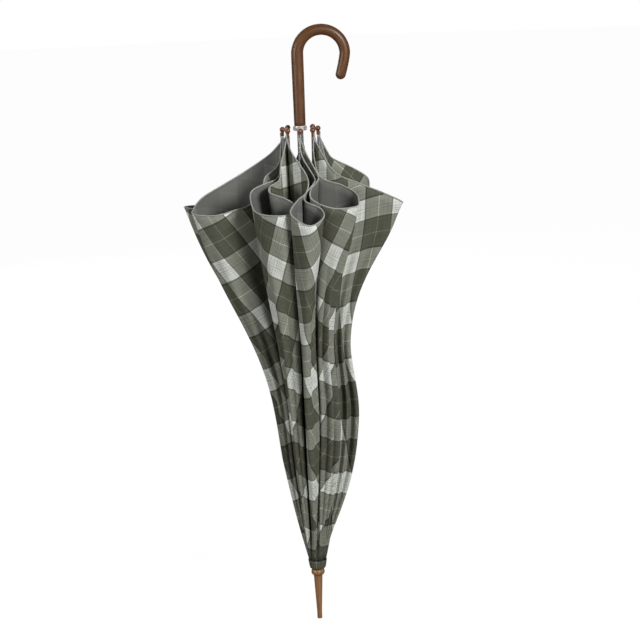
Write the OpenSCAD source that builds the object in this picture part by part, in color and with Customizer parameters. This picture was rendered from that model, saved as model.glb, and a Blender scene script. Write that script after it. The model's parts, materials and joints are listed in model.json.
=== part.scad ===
// Stick umbrella with a crook handle, loosely closed, ferrule down.
// Millimetres. Origin: middle of the ferrule's flat end. +Z runs up the shaft to the handle.
// The crook hooks to +X.

/* [Shaft and handle] */
// radius of the steel shaft
shaft_r = 4.5; // [3.5:0.1:6]
// wall of the steel shaft
shaft_wall = 0.8; // [0.5:0.1:1.5]
// height where the handle starts
handle_z = 750; // [700:5:800]
// height of the middle of the crook's bend
crook_z = 852; // [830:1:880]
// radius of the crook's bend, to the middle of the wood
crook_r = 34; // [25:1:45]
// radius of the handle's wood in the bend
wood_r = 7.8; // [6:0.1:10]

/* [Ferrule] */
// radius of the ferrule's end
ferrule_end_r = 3.7; // [3:0.1:6]
// height of the ferrule
ferrule_h = 68; // [40:1:90]

/* [Frame] */
// height of the hinges at the crown
crown_z = 95; // [85:1:110]
// radius of the circles of hinges at the crown and at the runner
ring_r = 8.5; // [8:0.1:10]
// length of a rib from its hinge to its tip
rib_len = 650; // [500:5:700]
// lean of a closed rib, in degrees
rest_deg = 1.5; // [1:0.1:3]
// length from a rib's hinge to its joint with the stretcher, and length of the stretcher
arm = 260; // [200:5:300]
// radius of the ball tips
tip_r = 4; // [3:0.1:6]

/* [Cloth] */
// thickness of the cloth
cloth_t = 0.5; // [0.4:0.1:1]
// cells across one gore
cells_u = 26; // [12:1:40]
// cells from the crown to the hem
cells_v = 8; // [5:1:14]
// height where the cloth is gathered round the shaft
gather_z = 84; // [80:1:95]
// gap from a gore's edge to the middle of the rib
seam_gap = 0.6; // [0.5:0.05:0.8]

/* [Hidden] */
$fn = 48;
RIBS = [-90, -45, 0, 45, 90, 135, 180, 225];
// the joint between rib and stretcher, and the runner's hinge height when closed
joint_r = ring_r + arm * sin(rest_deg);
joint_z = crown_z + arm * cos(rest_deg);
runner_z = crown_z + 2 * arm * cos(rest_deg);
// the heights of the two catches, below the runner when closed and when open
catch_high_z = 664;
catch_low_z = 308;

// ---- shaft, handle and ferrule ----

module shaft() {
  color([0.72, 0.72, 0.74])
  difference() {
    translate([0, 0, 50]) cylinder(r = shaft_r, h = 750);
    translate([0, 0, 49]) cylinder(r = shaft_r - shaft_wall, h = 752);
    // the two slots that the catches come out of
    for (z = [catch_low_z, catch_high_z])
      rotate([0, 0, 22.5]) translate([0, -0.95, z - 0.6]) cube([10, 1.9, 15.2]);
  }
}

module handle() {
  color([0.42, 0.28, 0.17]) {
    difference() {
      union() {
        translate([0, 0, handle_z]) cylinder(r1 = 8.2, r2 = 8.8, h = 70);
        translate([0, 0, handle_z + 70]) cylinder(r1 = 8.8, r2 = wood_r, h = crook_z - handle_z - 70);
        translate([crook_r, 0, crook_z]) rotate([90, 0, 0])
          rotate_extrude(angle = 180) translate([crook_r, 0]) circle(r = wood_r);
        translate([2 * crook_r, 0, crook_z]) sphere(r = wood_r);
        translate([2 * crook_r, 0, crook_z]) rotate([0, 192, 0]) cylinder(r1 = wood_r, r2 = 7.5, h = 31);
        translate([2 * crook_r, 0, crook_z]) rotate([0, 192, 0]) translate([0, 0, 31]) sphere(r = 7.5);
      }
      translate([0, 0, handle_z - 1]) cylinder(r = shaft_r - 0.02, h = 51);
    }
  }
}

module handle_collar() {
  color([0.78, 0.77, 0.76])
  difference() {
    union() {
      translate([0, 0, handle_z - 7]) cylinder(r = 9.4, h = 1);
      translate([0, 0, handle_z - 6]) cylinder(r = 10, h = 5);
      translate([0, 0, handle_z - 1]) cylinder(r = 9.4, h = 1);
    }
    translate([0, 0, handle_z - 8]) cylinder(r = shaft_r - 0.02, h = 9);
    for (z = [-4.8, -2.2])
      rotate([0, 0, -50]) translate([7, 0, handle_z + z]) rotate([0, 90, 0]) cylinder(r = 0.75, h = 4);
  }
}

module collar_pins() {
  color([0.12, 0.1, 0.09])
  for (z = [-4.8, -2.2])
    rotate([0, 0, -50]) translate([7.2, 0, handle_z + z]) rotate([0, 90, 0]) cylinder(r = 0.76, h = 3);
}

module ferrule() {
  color([0.54, 0.38, 0.26])
  difference() {
    union() {
      cylinder(r1 = ferrule_end_r - 0.6, r2 = ferrule_end_r, h = 0.6);
      translate([0, 0, 0.6]) cylinder(r = ferrule_end_r, h = 10.4);
      translate([0, 0, 11]) cylinder(r1 = ferrule_end_r, r2 = 6.5, h = ferrule_h - 11);
    }
    translate([0, 0, 49.9]) cylinder(r = shaft_r - 0.02, h = 30);
  }
}

module ferrule_collar() {
  color([0.5, 0.34, 0.23])
  difference() {
    translate([0, 0, ferrule_h])
      rotate_extrude()
        polygon([[0, 0], [6.6, 0], [7.2, 1.4], [9, 3], [10, 5], [10, 8], [9.2, 10], [7.6, 11.6], [0, 11.6]]);
    translate([0, 0, ferrule_h - 1]) cylinder(r = shaft_r - 0.02, h = 14);
  }
}

// the little round of cloth that covers the gathered point of the canopy
module canopy_cap() {
  color([0.3, 0.3, 0.27])
  difference() {
    translate([0, 0, 79.8]) cylinder(r1 = 9, r2 = 11.4, h = 2.2);
    translate([0, 0, 79]) cylinder(r = shaft_r - 0.02, h = 4);
  }
}

// ---- crown and runner: a core with eight open slots, and a ring of wire through them ----

module slotted_head(z, h) {
  difference() {
    translate([0, 0, z]) cylinder(r = 10.2, h = h);
    for (a = RIBS)
      rotate([0, 0, a]) translate([6.6, -1.15, z - 1]) cube([5, 2.3, h + 2]);
  }
}

module ring_of_wire(z, r) {
  translate([0, 0, z]) rotate_extrude() translate([ring_r, 0]) circle(r = r);
}

module crown_notch() {
  color([0.75, 0.75, 0.77])
  difference() {
    union() {
      slotted_head(crown_z - 6, 12);
      translate([0, 0, crown_z - 12]) cylinder(r = 10.2, h = 4);
      translate([0, 0, crown_z - 9]) cylinder(r = 6.6, h = 22);
    }
    translate([0, 0, crown_z - 13]) cylinder(r = shaft_r - 0.02, h = 27);
    ring_of_wire(crown_z, 0.48);
  }
}

module crown_wire() {
  color([0.6, 0.6, 0.62]) ring_of_wire(crown_z, 0.5);
}

module runner() {
  color([0.74, 0.74, 0.76])
  difference() {
    union() {
      slotted_head(runner_z - 6, 12);
      translate([0, 0, runner_z - 10]) cylinder(r = 6.2, h = 82);
      translate([0, 0, runner_z + 68]) cylinder(r = 6.6, h = 4);
    }
    translate([0, 0, runner_z - 11]) cylinder(r = shaft_r + 0.06, h = 84);
    // slit that lets the catches stand out of the shaft
    rotate([0, 0, 22.5]) translate([0, -1.1, runner_z - 11]) cube([14, 2.2, 84]);
    ring_of_wire(runner_z, 0.48);
  }
}

module runner_wire() {
  color([0.6, 0.6, 0.62]) ring_of_wire(runner_z, 0.5);
}

// a spring catch: a flat tooth that stands out of the shaft's slot
module catch_tooth(z) {
  color([0.66, 0.66, 0.68])
  rotate([0, 0, 22.5]) translate([0, 0.8, z]) rotate([90, 0, 0])
    linear_extrude(height = 1.6)
      polygon([[-0.7, 0], [3.2, 0], [7.2, 1.2], [7.2, 2.6], [3.2, 13], [3.2, 14], [-0.7, 14]]);
}

module bottom_catch() {
  catch_tooth(catch_high_z);
}

module top_catch() {
  catch_tooth(catch_low_z);
}

// ---- ribs, tips, rivets and stretchers, each built at azimuth 0 and turned ----

module at_rib(i) {
  rotate([0, 0, RIBS[i]]) translate([ring_r, 0, crown_z]) rotate([0, rest_deg, 0]) children();
}

module rib(i) {
  color([0.7, 0.7, 0.72])
  at_rib(i)
  difference() {
    union() {
      rotate([90, 0, 0]) cylinder(r = 1.6, h = 1.8, center = true);
      translate([-1.3, -0.9, 0]) cube([2.6, 1.8, 12]);
      translate([-1.3, -1.6, 10]) cube([2.6, 3.2, 628]);
      translate([0, 0, 636]) cylinder(r = 1.2, h = 11, $fn = 32);
    }
    translate([-1.4, -1.1, 13]) cube([2.2, 2.2, 622]);
    rotate([90, 0, 0]) cylinder(r = 0.62, h = 4, center = true, $fn = 32);
    translate([0, 0, arm]) rotate([90, 0, 0]) cylinder(r = 0.78, h = 8, center = true, $fn = 32);
  }
}

module rib_tip(i) {
  color([0.4, 0.24, 0.15])
  at_rib(i)
  difference() {
    union() {
      translate([0, 0, rib_len]) sphere(r = tip_r);
      translate([0, 0, rib_len - 9.5]) cylinder(r1 = 2, r2 = 2.3, h = 7);
    }
    translate([0, 0, rib_len - 10]) cylinder(r = 1.18, h = 7.2, $fn = 32);
  }
}

module rivet(i) {
  color([0.6, 0.6, 0.62])
  at_rib(i) translate([0, 0, arm]) rotate([90, 0, 0]) {
    cylinder(r = 0.8, h = 5.6, center = true, $fn = 32);
    for (s = [-1, 1])
      translate([0, 0, s * 2.9]) cylinder(r = 1.4, h = 0.5, center = true, $fn = 32);
  }
}

module stretcher(i) {
  color([0.68, 0.68, 0.7])
  rotate([0, 0, RIBS[i]]) translate([joint_r, 0, joint_z]) rotate([0, -rest_deg, 0])
  difference() {
    union() {
      rotate([90, 0, 0]) cylinder(r = 2, h = 5, center = true, $fn = 32);
      translate([-2, -2.5, 0]) cube([3.4, 5, 10]);
      translate([-2.1, -2.5, 8]) cube([3.3, 5, 218]);
      translate([-1.6, -0.9, 224]) cube([3.2, 1.8, arm - 224]);
      translate([0, 0, arm]) rotate([90, 0, 0]) cylinder(r = 1.6, h = 1.8, center = true, $fn = 32);
    }
    // open channel that the rib lies in when closed
    translate([-1.6, -1.8, 8.5]) cube([5, 3.6, 214]);
    translate([-4, -1.8, -4]) cube([8, 3.6, 13]);
    rotate([90, 0, 0]) cylinder(r = 0.87, h = 8, center = true, $fn = 32);
    translate([0, 0, arm]) rotate([90, 0, 0]) cylinder(r = 0.62, h = 4, center = true, $fn = 32);
  }
}

// ---- cloth: each gore hangs in one fold between two ribs ----
// The hem's path from one rib to the next, as points that a smooth curve runs through.
HEM_1 = [[8, -42, 714], [23, -58, 686], [21, -68, 678], [12, -85, 670], [14, -100, 658], [42, -118, 648],
  [74, -105, 647], [79, -85, 651], [75, -60, 659], [55, -46, 669], [26, -49, 682], [18, -34, 712]];
HEM_2 = [[24, -24, 724], [46, -33, 686], [81, -32, 668], [115, -27, 652], [143, -20, 636], [128, 4, 632],
  [108, 22, 628], [88, 14, 646], [60, 8, 664], [38, 4, 692]];
HEM_3 = [[30, 6, 726], [38, 14, 708], [46, 24, 696], [75, 42, 678], [95, 55, 662], [98, 68, 646],
  [96, 88, 624], [84, 108, 612], [70, 106, 616], [64, 88, 634], [46, 54, 664], [28, 30, 702]];
HEM_4 = [[25, 45, 698], [45, 80, 660], [50, 115, 636], [30, 140, 622], [5, 145, 620], [-10, 120, 636],
  [0, 90, 658], [6, 55, 696]];
HEM_5 = [[-6, 55, 696], [-40, 88, 642], [-90, 95, 622], [-140, 85, 624], [-168, 62, 628], [-174, 40, 630],
  [-155, 30, 630], [-118, 46, 638], [-85, 54, 650], [-47, 46, 676], [-28, 30, 710]];
HEM_6 = [[-30, 22, 722], [-47, 30, 704], [-83, 38, 680], [-113, 32, 664], [-146, 12, 648], [-159, -15, 635],
  [-156, -34, 632], [-127, -50, 632], [-100, -50, 638], [-74, -38, 645], [-57, -24, 668], [-52, -17, 680],
  [-33, -8, 696]];
HEM_7 = [[-30, -16, 698], [-34, -28, 680], [-52, -42, 674], [-69, -52, 668], [-74, -68, 660],
  [-66, -102, 644], [-39, -122, 641], [-16, -114, 642], [-9, -94, 648], [-24, -82, 658], [-45, -72, 665],
  [-46, -60, 672], [-32, -48, 680], [-29, -34, 700]];
HEM_8 = [[-13, -35, 716], [5, -60, 690], [9, -74, 678], [5, -88, 666], [-8, -106, 658], [-17, -128, 644],
  [8, -147, 630], [28, -134, 638], [25, -116, 648], [4, -100, 656], [4, -88, 664], [17, -75, 678],
  [17, -60, 684], [1, -38, 712]];
HEMS = [HEM_1, HEM_2, HEM_3, HEM_4, HEM_5, HEM_6, HEM_7, HEM_8];

// the ring that the gore starts from, and its edges' path along the ribs
function ring_at(a, u, v) =
  let (b = a + 45 * u, side = seam_gap * (1 - 2 * u))
  (11 + 16.6 * v) * [cos(b), sin(b)] + side * [-sin(b), cos(b)];
function hem_ends(i) =
  let (a = RIBS[i], p = ring_at(a, 0, 1), q = ring_at(a, 1, 1))
  concat([[p[0], p[1], 733]], HEMS[i], [[q[0], q[1], 733]]);
function between(a, b, c, d, t) =
  b + 0.5 * t * (c - a + t * (2 * a - 5 * b + 4 * c - d + t * (3 * (b - c) + d - a)));
function on_curve(p, u) =
  let (n = len(p) - 1, s = min(u * n, n - 0.000001), k = floor(s))
  between(p[max(k - 1, 0)], p[k], p[k + 1], p[min(k + 2, n)], s - k);
// How far the cloth stands out between the crown and the hem, as a share of the hem's own distance.
// It bulges low down on the right, and draws in to a waist above that; on the left it sways the other way.
function low_bulge(v) =
  let (w = min(max((0.62 - v) / 0.54, 0), 1))
  6.75 * w * w * (1 - w);
function waist(v) =
  let (w = (v - 0.68) / 0.26)
  pow(max(1 - w * w, 0), 2);
function sway(v) = v < 0.3 ? 0 : sin(360 * (v - 0.65) / 0.7);
function to_right(x) = min(max((x + 20) / 80, 0), 1);
function to_left(x) = min(max(-x / 80, 0), 1);
function spread(v, x) =
  let (inward = 1.2 * v * (1 - v) * (1.25 - 0.5 * v))
  v * (1 - inward + (0.58 * low_bulge(v) - 0.24 * waist(v)) * to_right(x) + 0.09 * sway(v) * to_left(x));
function deepen(v) = v * (1 - 0.2 * v * (1 - v));
function cloth_point(i, p, u, v) =
  let (h = on_curve(p, u), a = RIBS[i], r1 = ring_at(a, u, 1), r = ring_at(a, u, v))
  let (xy = r + [spread(v, h[0]) * (h[0] - r1[0]), deepen(v) * (h[1] - r1[1])])
  let (far = norm([norm([h[0], h[1]]) - 11, h[2] - gather_z]), out = norm(xy) - 11)
  [xy[0], xy[1], gather_z + sqrt(max(pow(far * v, 2) - out * out, 1))];

module canopy_gore(i) {
  p = hem_ends(i);
  nu = cells_u;
  nv = cells_v;
  step = 0.002;
  grid = [for (j = [0:nv]) for (k = [0:nu]) [k / nu, 0.012 + 0.988 * j / nv]];
  flat = [for (g = grid) cloth_point(i, p, g[0], g[1])];
  out = [for (g = grid)
    let (a = cloth_point(i, p, max(g[0] - step, 0), g[1]))
    let (b = cloth_point(i, p, min(g[0] + step, 1), g[1]))
    let (c = cloth_point(i, p, g[0], max(g[1] - step, 0.01)))
    let (d = cloth_point(i, p, g[0], min(g[1] + step, 1)))
    let (n = cross(b - a, d - c))
    n / norm(n)];
  m = len(flat);
  w = nu + 1;
  skin = concat(
    [for (k = [0:m - 1]) flat[k] + out[k] * cloth_t / 2],
    [for (k = [0:m - 1]) flat[k] - out[k] * cloth_t / 2]);
  upper = [for (j = [0:nv - 1]) for (k = [0:nu - 1]) for (f = [0, 1])
    let (q = j * w + k)
    f == 0 ? [q, q + w, q + w + 1] : [q, q + w + 1, q + 1]];
  lower = [for (f = upper) [f[0] + m, f[2] + m, f[1] + m]];
  crown_edge = [for (k = [0:nu - 1]) for (f = [0, 1])
    f == 0 ? [k, k + 1, k + 1 + m] : [k, k + 1 + m, k + m]];
  hem_edge = [for (k = [0:nu - 1]) for (f = [0, 1])
    let (q = nv * w + k)
    f == 0 ? [q + 1, q, q + m] : [q + 1, q + m, q + 1 + m]];
  first_edge = [for (j = [0:nv - 1]) for (f = [0, 1])
    let (q = j * w)
    f == 0 ? [q + w, q, q + m] : [q + w, q + m, q + w + m]];
  last_edge = [for (j = [0:nv - 1]) for (f = [0, 1])
    let (q = j * w + nu)
    f == 0 ? [q, q + w, q + w + m] : [q, q + w + m, q + m]];
  sides = concat(crown_edge, hem_edge, first_edge, last_edge);
  color([0.36, 0.37, 0.33])
  polyhedron(points = skin, faces = concat(upper, lower, sides), convexity = 10);
}

handle();
handle_collar();
collar_pins();
shaft();
ferrule();
ferrule_collar();
canopy_cap();
crown_notch();
crown_wire();
bottom_catch();
top_catch();
runner();
runner_wire();
for (k = [0:7]) {
  rib(k);
  rib_tip(k);
  rivet(k);
  stretcher(k);
  canopy_gore(k);
}
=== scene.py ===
"""Looks of the stick umbrella: materials, the wooden crook, the cloth in its folds and the opened cloth.

Lengths are in millimetres, in the CAD part's frame, and become metres in mesh_from().
"""

import json
import math

import bpy
import numpy as np
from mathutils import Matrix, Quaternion, Vector


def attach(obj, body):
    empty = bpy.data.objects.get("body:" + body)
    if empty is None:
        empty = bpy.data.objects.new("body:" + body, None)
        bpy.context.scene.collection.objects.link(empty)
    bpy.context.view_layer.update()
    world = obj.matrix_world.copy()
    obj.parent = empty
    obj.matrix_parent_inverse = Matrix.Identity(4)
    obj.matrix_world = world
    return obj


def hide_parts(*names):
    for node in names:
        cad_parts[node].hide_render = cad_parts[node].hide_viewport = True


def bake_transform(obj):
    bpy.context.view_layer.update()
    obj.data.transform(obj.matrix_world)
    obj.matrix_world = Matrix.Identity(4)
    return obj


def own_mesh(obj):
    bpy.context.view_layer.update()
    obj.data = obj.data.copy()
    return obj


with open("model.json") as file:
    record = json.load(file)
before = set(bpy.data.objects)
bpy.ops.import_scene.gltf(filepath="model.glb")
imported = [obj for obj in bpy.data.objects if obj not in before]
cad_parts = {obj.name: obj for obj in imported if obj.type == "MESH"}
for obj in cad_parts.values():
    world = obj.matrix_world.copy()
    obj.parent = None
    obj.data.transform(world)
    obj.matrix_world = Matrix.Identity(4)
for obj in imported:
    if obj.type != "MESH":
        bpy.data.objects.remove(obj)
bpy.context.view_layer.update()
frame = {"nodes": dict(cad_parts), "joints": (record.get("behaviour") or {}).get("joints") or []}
JOINTS = {j["name"]: j for j in frame["joints"]}

# ---------------------------------------------------------------- sizes shared with the CAD part
# direction of each rib round the shaft, in degrees, and how far a closed rib leans out
RIBS = [-90, -45, 0, 45, 90, 135, 180, 225]
REST = math.radians(1.5)
# height of the ribs' hinges, and of the place where the cloth is gathered
GATHER_Z = 84.0
# the ring that the gores start from, and the ring that the ribs' tips stand on
CROWN_R = 11.0
TIP_R = 27.6
# height where the hem leaves a rib
HEM_END_Z = 733
# points on the hem of each gore, from its rib to the next
HEMS = [
    [[8, -42, 714], [23, -58, 686], [21, -68, 678], [12, -85, 670], [14, -100, 658], [42, -118, 648],
     [74, -105, 647], [79, -85, 651], [75, -60, 659], [55, -46, 669], [26, -49, 682], [18, -34, 712]],
    [[24, -24, 724], [46, -33, 686], [81, -32, 668], [115, -27, 652], [143, -20, 636], [128, 4, 632],
     [108, 22, 628], [88, 14, 646], [60, 8, 664], [38, 4, 692]],
    [[30, 6, 726], [38, 14, 708], [46, 24, 696], [75, 42, 678], [95, 55, 662], [98, 68, 646], [96, 88, 624],
     [84, 108, 612], [70, 106, 616], [64, 88, 634], [46, 54, 664], [28, 30, 702]],
    [[25, 45, 698], [45, 80, 660], [50, 115, 636], [30, 140, 622], [5, 145, 620], [-10, 120, 636],
     [0, 90, 658], [6, 55, 696]],
    [[-6, 55, 696], [-40, 88, 642], [-90, 95, 622], [-140, 85, 624], [-168, 62, 628], [-174, 40, 630],
     [-155, 30, 630], [-118, 46, 638], [-85, 54, 650], [-47, 46, 676], [-28, 30, 710]],
    [[-30, 22, 722], [-47, 30, 704], [-83, 38, 680], [-113, 32, 664], [-146, 12, 648], [-159, -15, 635],
     [-156, -34, 632], [-127, -50, 632], [-100, -50, 638], [-74, -38, 645], [-57, -24, 668],
     [-52, -17, 680], [-33, -8, 696]],
    [[-30, -16, 698], [-34, -28, 680], [-52, -42, 674], [-69, -52, 668], [-74, -68, 660], [-66, -102, 644],
     [-39, -122, 641], [-16, -114, 642], [-9, -94, 648], [-24, -82, 658], [-45, -72, 665], [-46, -60, 672],
     [-32, -48, 680], [-29, -34, 700]],
    [[-13, -35, 716], [5, -60, 690], [9, -74, 678], [5, -88, 666], [-8, -106, 658], [-17, -128, 644],
     [8, -147, 630], [28, -134, 638], [25, -116, 648], [4, -100, 656], [4, -88, 664], [17, -75, 678],
     [17, -60, 684], [1, -38, 712]],
]

# ---------------------------------------------------------------- sizes of the cloth here
# thickness, and gap from a gore's edge to the middle of the rib
CLOTH = 0.5
SEAM = 0.2
# the gore's flat cut: its angle at the point, its length at a rib and in the middle, and its area in m2
CUT_ANGLE = math.radians(43.4)
CUT_RIB = 650.0
CUT_MIDDLE = 556.0
CUT_AREA = 0.5 * CUT_ANGLE * ((CUT_RIB + 2 * CUT_MIDDLE) / 3000) ** 2
# columns and rows of a folded gore's grid, and the rows' places, from just off the crown to the hem at 1
NU, NV = 160, 48
ROWS = 0.0185 + 0.9815 * np.linspace(0, 1, NV + 1)
# narrow folds across a gore, columns that count as one fold, and the share of the cut that is cloth enough
FOLDS = 9
OWN_FOLD = 26
ENOUGH_CLOTH = 0.74
# the hem: its radius, the ring that its ends stand on, and the two heights where they run up beside the rib
HEM_R = 0.95
HEM_RING = 28.3
HEM_RISE = (737, 740.5)
# the opened gore: columns and rows, first radius, length at a rib, how hollow its hem is
OPEN_NU, OPEN_NV = 48, 40
OPEN_START = 16
OPEN_RIB = 646.8
OPEN_HOLLOW = 92
# the strip that it lies in at rest: half its width, and how far its two faces stand out from the rib's axis
STRIP_HALF = 1.2
STRIP_OUTER = 2.5
STRIP_INNER = 1.45


# ---------------------------------------------------------------- meshes
def mesh_from(name, points, faces, material, smooth=True, uv=None, slots=None, around=False):
    """A mesh object from points in millimetres.

    uv has one pair per point, and slots one material number per face. around says that uv goes round a tube.
    """
    data = bpy.data.meshes.new(name)
    data.from_pydata((np.asarray(points, float) / 1000).tolist(), [], [list(map(int, f)) for f in faces])
    data.update()
    data.polygons.foreach_set("use_smooth", [smooth] * len(data.polygons))
    for m in material if isinstance(material, list) else [material]:
        data.materials.append(m)
    if slots is not None:
        data.polygons.foreach_set("material_index", np.asarray(slots, int))
    if uv is not None:
        layer = data.uv_layers.new(name="cloth")
        corner = np.zeros(len(data.loops), int)
        data.loops.foreach_get("vertex_index", corner)
        pairs = np.asarray(uv, np.float32)[corner]
        if around:
            # a face that closes the round takes 1 in place of 0
            for face in data.polygons:
                own = slice(face.loop_start, face.loop_start + face.loop_total)
                if face.loop_total == 4 and np.ptp(pairs[own, 0]) > 0.5:
                    pairs[own, 0] += pairs[own, 0] < 0.5
        layer.data.foreach_set("uv", pairs.ravel())
    obj = bpy.data.objects.new(name, data)
    bpy.context.scene.collection.objects.link(obj)
    return obj


def length_along(line):
    """Distance of each point from the first, along the line."""
    return np.r_[0, np.linalg.norm(np.diff(line, axis=0), axis=1).cumsum()]


def tube(name, line, radius, material, sides):
    """A closed round tube along a line of points. radius is one number or one per point."""
    line = np.asarray(line, float)
    n = len(line)
    radius = np.broadcast_to(np.asarray(radius, float), (n,))
    ahead = np.gradient(line, axis=0)
    ahead /= np.linalg.norm(ahead, axis=1)[:, None]
    side = np.zeros_like(line)
    first = np.cross(ahead[0], [0.3, 1, 0.1])
    side[0] = first / np.linalg.norm(first)
    for k in range(1, n):
        s = side[k - 1] - ahead[k] * (side[k - 1] @ ahead[k])
        side[k] = s / np.linalg.norm(s)
    up = np.cross(ahead, side)
    a = np.linspace(0, 2 * math.pi, sides, endpoint=False)
    ring = side[:, None] * np.cos(a)[None, :, None] + up[:, None] * np.sin(a)[None, :, None]
    points = (line[:, None] + ring * radius[:, None, None]).reshape(-1, 3)
    faces = []
    for k in range(n - 1):
        for s in range(sides):
            t = (s + 1) % sides
            faces.append((k * sides + s, k * sides + t, (k + 1) * sides + t, (k + 1) * sides + s))
    faces.append(tuple(reversed(range(sides))))
    faces.append(tuple((n - 1) * sides + s for s in range(sides)))
    uv = np.stack([np.tile(a / (2 * math.pi), n), np.repeat(length_along(line) / 1000, sides)], 1)
    return mesh_from(name, points, faces, material, uv=uv, around=True)


def smooth_line(points, u):
    """Points of a smooth curve through the control points, at places u from 0 to 1."""
    p = np.asarray(points, float)
    n = len(p) - 1
    s = np.minimum(np.asarray(u) * n, n - 1e-6)
    k = np.floor(s).astype(int)
    t = (s - k)[..., None]
    a, b = p[np.maximum(k - 1, 0)], p[k]
    c, d = p[k + 1], p[np.minimum(k + 2, n)]
    return b + 0.5 * t * (c - a + t * (2 * a - 5 * b + 4 * c - d + t * (3 * (b - c) + d - a)))


def slab(outer, inner, nu, nv):
    """A closed slab from two grids of (nv + 1) rows of (nu + 1) points.

    Gives its points, its faces, and for each face 0 on the outer side, 1 on the inner side or 2 on the rim.
    """
    w, m = nu + 1, (nu + 1) * (nv + 1)
    faces, kind = [], []
    for j in range(nv):
        for k in range(nu):
            q = j * w + k
            faces.append((q, q + 1, q + w + 1, q + w))
            faces.append((m + q, m + q + w, m + q + w + 1, m + q + 1))
            kind += [0, 1]
    for k in range(nu):
        q = nv * w + k
        faces.append((k + 1, k, m + k, m + k + 1))
        faces.append((q, q + 1, m + q + 1, m + q))
        kind += [2, 2]
    for j in range(nv):
        first = j * w
        last = j * w + nu
        faces.append((first, first + w, m + first + w, m + first))
        faces.append((last + w, last, m + last, m + last + w))
        kind += [2, 2]
    return np.concatenate([outer, inner]), faces, kind


# ---------------------------------------------------------------- the cloth in its folds
def ring_at(azimuth, u, v):
    """The round that the ribs stand on, at v from the crown to the tips and u from one rib to the next."""
    a = np.radians(azimuth + 45 * u)
    r = CROWN_R + (TIP_R - CROWN_R) * v
    side = SEAM * (1 - 2 * u)
    return np.stack([r * np.cos(a) - side * np.sin(a), r * np.sin(a) + side * np.cos(a)], -1)


def spread(v, x):
    """How far the cloth stands out sideways at v, as a share of the hem's own distance."""
    w = np.clip((0.62 - v) / 0.54, 0, 1)
    low_bulge = 6.75 * w * w * (1 - w)
    waist = np.maximum(1 - ((v - 0.68) / 0.26) ** 2, 0) ** 2
    sway = np.where(v < 0.3, 0, np.sin(2 * math.pi * (v - 0.65) / 0.7))
    to_right = np.clip((x + 20) / 80, 0, 1)
    to_left = np.clip(-x / 80, 0, 1)
    inward = 1.2 * v * (1 - v) * (1.25 - 0.5 * v)
    return v * (1 - inward + (0.58 * low_bulge - 0.24 * waist) * to_right + 0.09 * sway * to_left)


def deepen(v):
    """The same from front to back."""
    return v * (1 - 0.2 * v * (1 - v))


def hem_points(i):
    start = ring_at(RIBS[i], 0.0, 1.0)
    end = ring_at(RIBS[i], 1.0, 1.0)
    return [[*start, HEM_END_Z], *HEMS[i], [*end, HEM_END_Z]]


def cloth(i, u, v):
    """Where the cloth of gore i hangs, at u from rib to rib and v from the crown to the hem."""
    h = smooth_line(hem_points(i), u)
    r = ring_at(RIBS[i], u, v)
    share = np.stack([spread(v, h[..., 0]), deepen(v)], -1)
    xy = r + share * (h[..., :2] - ring_at(RIBS[i], u, np.ones_like(v)))
    far = np.hypot(np.linalg.norm(h[..., :2], axis=-1) - CROWN_R, h[..., 2] - GATHER_Z)
    out = np.linalg.norm(xy, axis=-1) - CROWN_R
    z = GATHER_Z + np.sqrt(np.maximum((far * v) ** 2 - out**2, 1))
    return np.concatenate([xy, z[..., None]], -1)


def flat_xy(i, u, reach):
    """A place in the canopy spread flat, in metres, where the checks run straight across all the gores."""
    a = np.radians(RIBS[i] + 45 * u + 45)
    return np.stack([reach * np.cos(a), reach * np.sin(a)], -1).reshape(-1, 2) / 1000


def area_of(p):
    """Area of a grid of points, in square metres."""
    a, b, c, d = p[:-1, :-1], p[:-1, 1:], p[1:, 1:], p[1:, :-1]
    one = np.linalg.norm(np.cross(b - a, c - a), axis=-1)
    two = np.linalg.norm(np.cross(c - a, d - a), axis=-1)
    return float((one + two).sum()) / 2e6


def even_places(i):
    """Values of u for even columns along gore i's hem, and fine u with their shares of the hem's length."""
    fine = np.linspace(0, 1, 2001)
    s = length_along(smooth_line(hem_points(i), fine))
    return np.interp(np.linspace(0, s[-1], NU + 1), s, fine), fine, s / s[-1]


def smoothed(x, times):
    """Each row of x evened out, with its ends kept."""
    for _ in range(times):
        x = np.concatenate([x[..., :1], (x[..., :-2] + 2 * x[..., 1:-1] + x[..., 2:]) / 4, x[..., -1:]], -1)
    return x


def room_beside(grids):
    """How far each point of the gores is from other cloth in its row, its own fold left out."""
    gores = len(grids)
    owner = np.repeat(np.arange(gores), NU + 1)
    number = np.tile(np.arange(NU + 1), gores)
    same_fold = (owner[:, None] == owner[None]) & (np.abs(number[:, None] - number[None]) < OWN_FOLD)
    room = np.zeros((gores, NV + 1, NU + 1))
    for j in range(NV + 1):
        row = np.concatenate([g[j, :, :2] for g in grids])
        apart = np.linalg.norm(row[:, None] - row[None], axis=-1)
        apart[same_fold] = np.inf
        room[:, j] = apart.min(1).reshape(gores, NU + 1)
    return room


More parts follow.
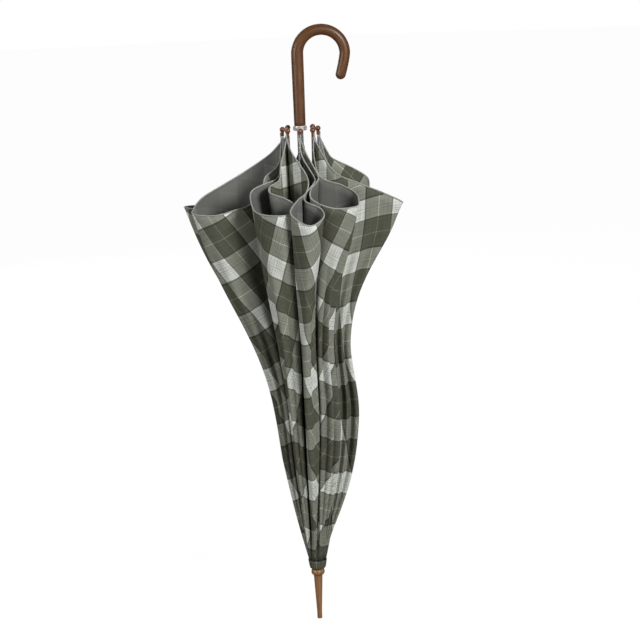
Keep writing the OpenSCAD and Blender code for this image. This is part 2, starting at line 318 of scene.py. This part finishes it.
def rippled(i, p, share, room):
    """Gore i's grid p with narrow folds, just deep enough to take up its slack cloth where there is room."""
    step = np.gradient(p[..., :2], axis=1)
    width = np.linalg.norm(np.diff(p[..., :2], axis=1), axis=-1).sum(1)[:, None]
    normal = np.stack([step[..., 1], -step[..., 0]], -1)
    normal /= np.maximum(np.linalg.norm(normal, axis=-1), 1e-9)[..., None]
    v = ROWS[:, None]
    wander = 0.25 * np.sin(2 * math.pi * (2 * share + 0.37 * i)) + 0.12 * np.sin(9 * v + 5 * i)
    wave = np.sin(2 * math.pi * (FOLDS * share + wander))
    # the folds die out towards the hem, the crown and the ribs
    at_hem = np.clip((0.97 - v) / 0.4, 0, 1) ** 1.2
    at_crown = np.clip(v / 0.15, 0, 1)
    at_ribs = np.sin(math.pi * share) ** 0.4
    free = smoothed(room, 6)
    for strength in np.arange(0.0, 0.42, 0.02):
        size = np.minimum(strength * width / FOLDS, 0.42 * free)
        moved = p.copy()
        moved[..., :2] += normal * (smoothed(size, 4) * (at_hem * at_crown * at_ribs) * wave)[..., None]
        if area_of(moved) / CUT_AREA > ENOUGH_CLOTH:
            break
    return moved


def folded():
    """For each gore its grid of points, and their shares of the way along the hem and from crown to hem."""
    grids, shares = [], []
    for i in range(len(RIBS)):
        columns, fine, share = even_places(i)
        u, v = np.meshgrid(columns, ROWS)
        grids.append(cloth(i, u, v))
        shares.append(np.interp(u, fine, share))
    room = room_beside(grids)
    return [(rippled(i, grids[i], shares[i], room[i]), shares[i], v) for i in range(len(RIBS))]


# ---------------------------------------------------------------- shader nodes
def material(name, colour, roughness=0.6, metallic=0.0, coat=0.0):
    m = bpy.data.materials.new(name)
    m.use_nodes = True
    b = m.node_tree.nodes["Principled BSDF"]
    b.inputs["Base Color"].default_value = (*colour, 1)
    b.inputs["Roughness"].default_value = roughness
    b.inputs["Metallic"].default_value = metallic
    if coat:
        b.inputs["Coat Weight"].default_value = coat
        b.inputs["Coat Roughness"].default_value = 0.25
    return m, m.node_tree, b


def link(tree, a, b):
    tree.links.new(a, b)


def maths(tree, operation, a, b=None, c=None):
    n = tree.nodes.new("ShaderNodeMath")
    n.operation = operation
    for k, x in enumerate((a, b, c)):
        if x is None:
            continue
        if isinstance(x, (int, float)):
            n.inputs[k].default_value = x
        else:
            link(tree, x, n.inputs[k])
    return n.outputs[0]


def mix(tree, factor, a, b, blend="MIX"):
    n = tree.nodes.new("ShaderNodeMix")
    n.data_type = "RGBA"
    n.blend_type = blend
    for socket, x in ((n.inputs[0], factor), (n.inputs[6], a), (n.inputs[7], b)):
        if isinstance(x, (int, float)):
            socket.default_value = x
        elif isinstance(x, tuple):
            socket.default_value = (*x, 1)
        else:
            link(tree, x, socket)
    return n.outputs[2]


def ramp(tree, value, stops, step=False):
    n = tree.nodes.new("ShaderNodeValToRGB")
    n.color_ramp.interpolation = "CONSTANT" if step else "LINEAR"
    e = n.color_ramp.elements
    while len(e) > 1:
        e.remove(e[0])
    e[0].position = stops[0][0]
    e[0].color = (*stops[0][1], 1)
    for place, colour in stops[1:]:
        e.new(place).color = (*colour, 1)
    link(tree, value, n.inputs[0])
    return n.outputs[0]


def noise(tree, vector, scale, detail=3.0, roughness=0.5):
    n = tree.nodes.new("ShaderNodeTexNoise")
    n.inputs["Scale"].default_value = scale
    n.inputs["Detail"].default_value = detail
    n.inputs["Roughness"].default_value = roughness
    link(tree, vector, n.inputs["Vector"])
    return n.outputs["Fac"]


def own_place(tree):
    """The point's place on the object, in metres, which rides with it."""
    return tree.nodes.new("ShaderNodeTexCoord").outputs["Object"]


def laid_place(tree):
    """The point's place on the flat cloth, or round and along a tube."""
    n = tree.nodes.new("ShaderNodeUVMap")
    n.uv_map = "cloth"
    return n.outputs[0]


def scaled(tree, vector, scale):
    n = tree.nodes.new("ShaderNodeMapping")
    n.inputs["Scale"].default_value = scale
    link(tree, vector, n.inputs["Vector"])
    return n.outputs[0]


def split(tree, vector):
    n = tree.nodes.new("ShaderNodeSeparateXYZ")
    link(tree, vector, n.inputs[0])
    return n.outputs


def grey(tree, value):
    """A grey colour of the given brightness."""
    n = tree.nodes.new("ShaderNodeCombineColor")
    for socket in n.inputs:
        link(tree, value, socket)
    return n.outputs[0]


def raise_up(tree, shader, height, strength, distance):
    """A bump of the given height map on the shader."""
    bump = tree.nodes.new("ShaderNodeBump")
    bump.inputs["Strength"].default_value = strength
    bump.inputs["Distance"].default_value = distance
    link(tree, height, bump.inputs["Height"])
    link(tree, bump.outputs[0], shader.inputs["Normal"])


def srgb(text):
    """Linear colour from six hexadecimal digits."""
    out = []
    for k in (0, 2, 4):
        c = int(text[k:k + 2], 16) / 255
        out.append(c / 12.92 if c <= 0.04045 else ((c + 0.055) / 1.055) ** 2.4)
    return tuple(out)


# ---------------------------------------------------------------- materials
# stripe plan of the cloth, the same along and across: place in the repeat, colour of the threads
PERIOD = 0.079
TWILL = 0.0016
EDGE, OLIVE, SHADE, PALE, GREY, LINE = map(srgb, ("3c3d35", "5a5b4e", "4c4d42", "d9dcd4", "a5a9a1", "b3af93"))
THREADS = [
    (0.0, EDGE), (0.02, OLIVE), (0.09, SHADE), (0.1, OLIVE), (0.19, SHADE), (0.2, OLIVE), (0.29, LINE),
    (0.303, OLIVE), (0.4, SHADE), (0.41, OLIVE), (0.5, SHADE), (0.51, OLIVE), (0.58, EDGE), (0.6, PALE),
    (0.66, GREY), (0.67, PALE), (0.7, GREY), (0.71, PALE), (0.74, GREY), (0.755, PALE), (0.8, GREY),
    (0.815, PALE), (0.84, GREY), (0.85, PALE), (0.88, GREY), (0.89, PALE), (0.99, EDGE),
]
PLAIN_BACK = srgb("6b6c68")


def cloth_maker(name, lining):
    """The woven check, or its back, a plain dark grey with the check only just showing."""
    m, tree, b = material(name, srgb("6d6f66"), 0.92)
    b.inputs["Specular IOR Level"].default_value = 0.15
    where = laid_place(tree)
    along = split(tree, where)
    colours = []
    for axis, shift in ((0, 0.2), (1, 0.35)):
        turns = maths(tree, "MULTIPLY_ADD", along[axis], 1 / PERIOD, shift)
        colours.append(ramp(tree, maths(tree, "FRACT", turns), THREADS, step=True))
    # where two threads cross, the cloth shows the middle tone of the two
    gamma = tree.nodes.new("ShaderNodeGamma")
    gamma.inputs["Gamma"].default_value = 0.5
    link(tree, mix(tree, 1.0, colours[0], colours[1], "MULTIPLY"), gamma.inputs["Color"])
    # a fine twill, and threads of uneven thickness along and across
    diagonal = maths(tree, "ADD", along[0], along[1])
    twill = maths(tree, "FRACT", maths(tree, "MULTIPLY", diagonal, 1 / TWILL))
    uneven = [noise(tree, scaled(tree, where, s), 1.0, 2.0) for s in ((1500, 30, 1), (30, 1500, 1))]
    slub = maths(tree, "MULTIPLY", uneven[0], uneven[1])
    shade = maths(tree, "MULTIPLY_ADD", slub, 1.5, 0.62)
    shade = maths(tree, "MULTIPLY_ADD", maths(tree, "GREATER_THAN", twill, 0.5), 0.08, shade)
    woven = mix(tree, 1.0, gamma.outputs[0], grey(tree, shade), "MULTIPLY")
    if lining:
        woven = mix(tree, 0.90, woven, PLAIN_BACK)
    link(tree, woven, b.inputs["Base Color"])
    raise_up(tree, b, twill, 0.12, 0.0002)
    return m


def piping_maker(name, dark, light):
    """Bias binding: a fine diagonal twill with uneven threads."""
    m, tree, b = material(name, light, 0.85)
    b.inputs["Specular IOR Level"].default_value = 0.2
    where = own_place(tree)
    x, y, z = split(tree, where)
    diagonal = maths(tree, "ADD", maths(tree, "ADD", x, y), z)
    twill = maths(tree, "SINE", maths(tree, "MULTIPLY", diagonal, 2 * math.pi / 0.0009))
    tone = maths(tree, "MULTIPLY_ADD", twill, 0.12, noise(tree, where, 900.0, 3.0, 0.6))
    link(tree, ramp(tree, tone, [(0.25, dark), (0.7, light)]), b.inputs["Base Color"])
    raise_up(tree, b, twill, 0.15, 0.0001)
    return m


def wood_maker(name, dark, mid, light, gloss=0.38, scale=1.0):
    """Turned wood whose streaks run up and down."""
    m, tree, b = material(name, mid, gloss, coat=0.25)
    where = scaled(tree, own_place(tree), (260 * scale, 260 * scale, 16 * scale))
    streak = noise(tree, where, 1.0, 5.0, 0.6)
    link(tree, ramp(tree, streak, [(0.3, dark), (0.5, mid), (0.72, light)]), b.inputs["Base Color"])
    link(tree, maths(tree, "MULTIPLY_ADD", streak, -0.25, gloss + 0.12), b.inputs["Roughness"])
    raise_up(tree, b, streak, 0.15, 0.0001)
    return m


def bent_wood_maker(name, dark, mid, light):
    """Wood whose streaks follow the bend, from the tube's own round and length."""
    m, tree, b = material(name, mid, 0.45, coat=0.12)
    around, along, _ = split(tree, laid_place(tree))
    turn = maths(tree, "MULTIPLY", around, 2 * math.pi)
    join = tree.nodes.new("ShaderNodeCombineXYZ")
    link(tree, maths(tree, "MULTIPLY", maths(tree, "COSINE", turn), 5.0), join.inputs[0])
    link(tree, maths(tree, "MULTIPLY", maths(tree, "SINE", turn), 5.0), join.inputs[1])
    link(tree, maths(tree, "MULTIPLY", along, 22.0), join.inputs[2])
    streak = noise(tree, join.outputs[0], 1.6, 6.0, 0.62)
    colour = ramp(tree, streak, [(0.3, dark), (0.5, mid), (0.68, light)])
    fine = noise(tree, join.outputs[0], 9.0, 2.0, 0.5)
    colour = mix(tree, maths(tree, "MULTIPLY", fine, 0.35), colour, dark)
    link(tree, colour, b.inputs["Base Color"])
    link(tree, maths(tree, "MULTIPLY_ADD", streak, -0.2, 0.55), b.inputs["Roughness"])
    raise_up(tree, b, fine, 0.12, 0.0001)
    return m


def metal_maker(name, dark, light, roughness, metallic, scale=1.0):
    """Drawn metal: fine streaks up and down, and a duller bloom in patches."""
    m, tree, b = material(name, light, roughness, metallic)
    where = own_place(tree)
    streak = noise(tree, scaled(tree, where, (2400 * scale, 2400 * scale, 90 * scale)), 1.0, 3.0, 0.6)
    bloom = noise(tree, where, 110 * scale, 4.0, 0.6)
    both = maths(tree, "MULTIPLY_ADD", streak, 0.45, maths(tree, "MULTIPLY", bloom, 0.55))
    link(tree, ramp(tree, both, [(0.36, dark), (0.6, light)]), b.inputs["Base Color"])
    link(tree, maths(tree, "MULTIPLY_ADD", bloom, -0.3, roughness + 0.15), b.inputs["Roughness"])
    raise_up(tree, b, streak, 0.1, 0.00005)
    return m


plaid = cloth_maker("plaid", False)
lining = cloth_maker("lining", True)
piping = piping_maker("piping", srgb("94958e"), srgb("b4b5af"))
CANOPY = [plaid, lining, piping]
handle_wood = bent_wood_maker("handle_wood", srgb("38200d"), srgb("673f1d"), srgb("85592f"))
ferrule_wood = wood_maker("ferrule_wood", srgb("6f4728"), srgb("93663f"), srgb("ad835a"))
tip_wood = wood_maker("tip_wood", srgb("4c2a18"), srgb("74452a"), srgb("8a5a38"), 0.3, 2.0)
steel = metal_maker("frame_steel", (0.42, 0.42, 0.43), (0.68, 0.68, 0.7), 0.32, 0.9)
collar_metal = metal_maker("collar_metal", (0.66, 0.62, 0.58), (0.86, 0.83, 0.8), 0.35, 0.55, 0.6)
dark_pins = metal_maker("dark_pins", (0.02, 0.018, 0.016), (0.06, 0.05, 0.045), 0.6, 0.2)
shaft_steel = metal_maker("shaft_steel", (0.52, 0.52, 0.54), (0.76, 0.76, 0.78), 0.22, 0.95)

# ---------------------------------------------------------------- the CAD nodes that show
FINISH = {
    "handle_collar": collar_metal, "collar_pins": dark_pins, "shaft": shaft_steel,
    "ferrule": ferrule_wood, "ferrule_collar": ferrule_wood,
}
for name, obj in frame["nodes"].items():
    obj.data.materials.clear()
    obj.data.materials.append(FINISH.get(name, tip_wood if name.startswith("rib_tip") else steel))
    obj.data.polygons.foreach_set("use_smooth", [True] * len(obj.data.polygons))
    sharp = obj.modifiers.new("edges", "EDGE_SPLIT")
    sharp.split_angle = math.radians(35)


# ---------------------------------------------------------------- handle
def handle():
    """The crook: stem, bend and nose, as circles of changing size along one line, with a rounded end."""
    bend_r, bend_z, stem_z, end_r = 34, 852, 750, 7.4
    stem = np.array([[0, 0, z] for z in np.linspace(stem_z, bend_z - 2, 22)])
    a = np.radians(np.linspace(180, 0, 49))
    bend = np.stack([bend_r + bend_r * np.cos(a), 0 * a, bend_z + bend_r * np.sin(a)], 1)
    t = np.linspace(0.08, 1, 12)
    nose = np.stack([2 * bend_r - 6.9 * t**1.3, 0 * t, bend_z - 31 * t], 1)
    line = np.concatenate([stem, bend, nose])
    size = np.interp(length_along(line), [0, 60, 100, 160, 215, 250], [8.2, 8.6, 8.8, 7.9, 7.7, end_r])
    ahead = line[-1] - line[-2]
    ahead /= np.linalg.norm(ahead)
    k = np.radians(np.linspace(12, 88, 8))
    line = np.concatenate([line, line[-1] + end_r * np.sin(k)[:, None] * ahead])
    size = np.concatenate([size, end_r * np.cos(k)])
    return tube("crook", line, size, handle_wood, sides=40)


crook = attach(handle(), "shaft")
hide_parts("handle")


# ---------------------------------------------------------------- canopy
def cap():
    """The small round of cloth over the gathered point, pleated, a closed shell open towards the canopy."""
    outer = [(79.8, 7.4), (80.0, 9.6), (81.2, 11.2), (83.5, 12.1), (87, 12.7), (91, 13.3), (93.8, 13.9)]
    inner = [(93.6, 13.4), (88, 12.2), (84, 11.6), (82.2, 10.7), (81, 8.8), (80.6, 7.4)]
    sides, pleats = 144, 24
    a = np.linspace(0, 2 * math.pi, sides, endpoint=False)
    points, faces = [], []
    for z, r in outer + inner:
        size = r + 0.28 * np.sin(pleats * a) * (z > 80.5) + 0.15 * np.sin(7 * a + 1) * (z > 83)
        points += np.stack([size * np.cos(a), size * np.sin(a), 0 * a + z], -1).tolist()
    rows = len(outer) + len(inner)
    for j in range(rows):
        q, t = j * sides, ((j + 1) % rows) * sides
        for k in range(sides):
            n = (k + 1) % sides
            faces.append((q + n, q + k, t + k, t + n))
    uv = [(p[0] / 1000 + 0.01, p[1] / 1000 + 0.02) for p in points]
    return mesh_from("cap", points, faces, plaid, uv=uv)


crown_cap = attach(cap(), "shaft")
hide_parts("canopy_cap")


def gore(i, p, share, v):
    """Gore i as it hangs folded, with its hem. Both ride on their rib."""
    n = i + 1
    normal = np.cross(np.gradient(p, axis=1), np.gradient(p, axis=0))
    normal /= np.maximum(np.linalg.norm(normal, axis=-1), 1e-9)[..., None]
    outer = (p + normal * CLOTH / 2).reshape(-1, 3)
    inner = (p - normal * CLOTH / 2).reshape(-1, 3)
    reach = (CUT_RIB - (CUT_RIB - CUT_MIDDLE) * 4 * share * (1 - share)) * v
    uv = flat_xy(i, share, reach)
    points, faces, kind = slab(outer, inner, NU, NV)
    piece = mesh_from(f"gore_{n}", points, faces, CANOPY, uv=np.concatenate([uv, uv]), slots=kind)
    start, end = [ring_at(RIBS[i], k, 1.0) * HEM_RING / TIP_R for k in (0, 1)]
    low, high = HEM_RISE
    line = np.concatenate([[[*start, high], [*start, low]], p[-1], [[*end, low], [*end, high]]])
    hem = tube(f"hem_{n}", line, HEM_R, piping, sides=10)
    for o in (piece, hem):
        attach(o, f"rib_{n}")
        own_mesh(o)
    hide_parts(f"canopy_gore_{n}")


def opened(i):
    """Gore i as it lies when the umbrella is open. At rest it is a narrow strip folded on its rib."""
    n = i + 1
    joint = JOINTS[f"gore_{n}_fan"]
    axis = np.array(joint["axis"])
    apex = np.array(joint["pos_m"]) * 1000
    a = math.radians(RIBS[i])
    away = np.array([math.cos(a), math.sin(a), 0])
    along = away * math.sin(REST) + np.array([0, 0, 1]) * math.cos(REST)
    side = np.cross(axis, along)
    outward = -axis if axis @ away < 0 else axis
    w = np.linspace(0, 1, OPEN_NU + 1)
    # the columns' places in the strip, so that they spread evenly when the cloth turns from rib to rib
    across = -2 * np.sin(np.arcsin(1 - 2 * w) / 3)
    reach = OPEN_RIB - OPEN_HOLLOW * 4 * w * (1 - w)
    r = OPEN_START + (reach - OPEN_START) * np.linspace(0, 1, OPEN_NV + 1)[:, None]
    base = apex + r[..., None] * along + (across * STRIP_HALF)[None, :, None] * side
    outer = (base + outward * STRIP_OUTER).reshape(-1, 3)
    inner = (base + outward * STRIP_INNER).reshape(-1, 3)
    uv = flat_xy(i, w, r)
    points, faces, kind = slab(outer, inner, OPEN_NU, OPEN_NV)
    piece = mesh_from(f"open_gore_{n}", points, faces, CANOPY, uv=np.concatenate([uv, uv]), slots=kind)
    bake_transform(piece)


for index, (grid, share, v) in enumerate(folded()):
    gore(index, grid, share, v)
    opened(index)

# ---------------------------------------------------------------- camera
ELEVATION = math.radians(13.0)
ROLL = math.radians(-2.25)
DISTANCE = 3.2
SEEN_WIDTH = 0.938
SENSOR = 36
TARGET = Vector((0.0178, 0.0, 0.462))
scene = bpy.context.scene
cam_data = bpy.data.cameras.new("camera")
cam = bpy.data.objects.new("camera", cam_data)
scene.collection.objects.link(cam)
scene.camera = cam
back = Vector((0, -math.cos(ELEVATION), math.sin(ELEVATION)))
cam.location = TARGET + back * DISTANCE
cam.rotation_mode = "QUATERNION"
cam.rotation_quaternion = (-back).to_track_quat("-Z", "Y") @ Quaternion((0, 0, 1), ROLL)
cam_data.sensor_width = SENSOR
cam_data.lens = SENSOR * DISTANCE / SEEN_WIDTH
cam_data.clip_start = 0.1
cam_data.clip_end = 50


# ---------------------------------------------------------------- light
def lamp(name, place, target, size, power):
    data = bpy.data.lights.new(name, "AREA")
    data.shape = "DISK"
    data.size = size
    data.energy = power
    o = bpy.data.objects.new(name, data)
    o.location = place
    o.rotation_mode = "QUATERNION"
    o.rotation_quaternion = (Vector(target) - Vector(place)).to_track_quat("-Z", "Y")
    scene.collection.objects.link(o)


lamp("key", (1.5, -2.2, 1.8), (0, 0, 0.42), 0.8, 70)
lamp("fill", (-2.4, -1.6, 1.0), (0, 0, 0.4), 1.0, 28)
lamp("rim", (-0.8, 2.4, 1.4), (0, 0, 0.45), 2.0, 30)

world = bpy.data.worlds.new("white")
scene.world = world
world.use_nodes = True
world_tree = world.node_tree
for node in list(world_tree.nodes):
    world_tree.nodes.remove(node)
world_out = world_tree.nodes.new("ShaderNodeOutputWorld")
light = world_tree.nodes.new("ShaderNodeBackground")
light.inputs["Color"].default_value = (1, 1, 1, 1)
light.inputs["Strength"].default_value = 0.16
link(world_tree, light.outputs[0], world_out.inputs[0])
scene.view_settings.view_transform = "Standard"


# ---------------------------------------------------------------- floor and backdrop
def stage_sheet(name, points, faces, glow, diffuse):
    """A white floor or backdrop that glows, so it stays pale everywhere, and lights nothing else."""
    m, _, b = material(name, (diffuse, diffuse, diffuse), 0.9)
    b.inputs["Specular IOR Level"].default_value = 0.0
    b.inputs["Emission Color"].default_value = (1, 1, 1, 1)
    b.inputs["Emission Strength"].default_value = glow
    o = mesh_from(name, points, faces, m, smooth=False)
    o.visible_diffuse = False
    o.visible_glossy = False
    o.visible_shadow = False


ROOM_R = 9000
ROOM_TOP = 12000
FLOOR_Z = -0.6
SIDES = 32
turn = 2 * math.pi / SIDES
corners = [(ROOM_R * math.cos(turn * k), ROOM_R * math.sin(turn * k)) for k in range(SIDES)]
floor = [[x, y, FLOOR_Z] for x, y in corners]
stage_sheet("floor", floor, [tuple(range(SIDES))], 0.97, 0.05)
wall = [[x, y, z] for z in (FLOOR_Z, ROOM_TOP) for x, y in corners]
panels = [(k, (k + 1) % SIDES, SIDES + (k + 1) % SIDES, SIDES + k) for k in range(SIDES)]
stage_sheet("backdrop", wall, panels, 1.0, 0.0)
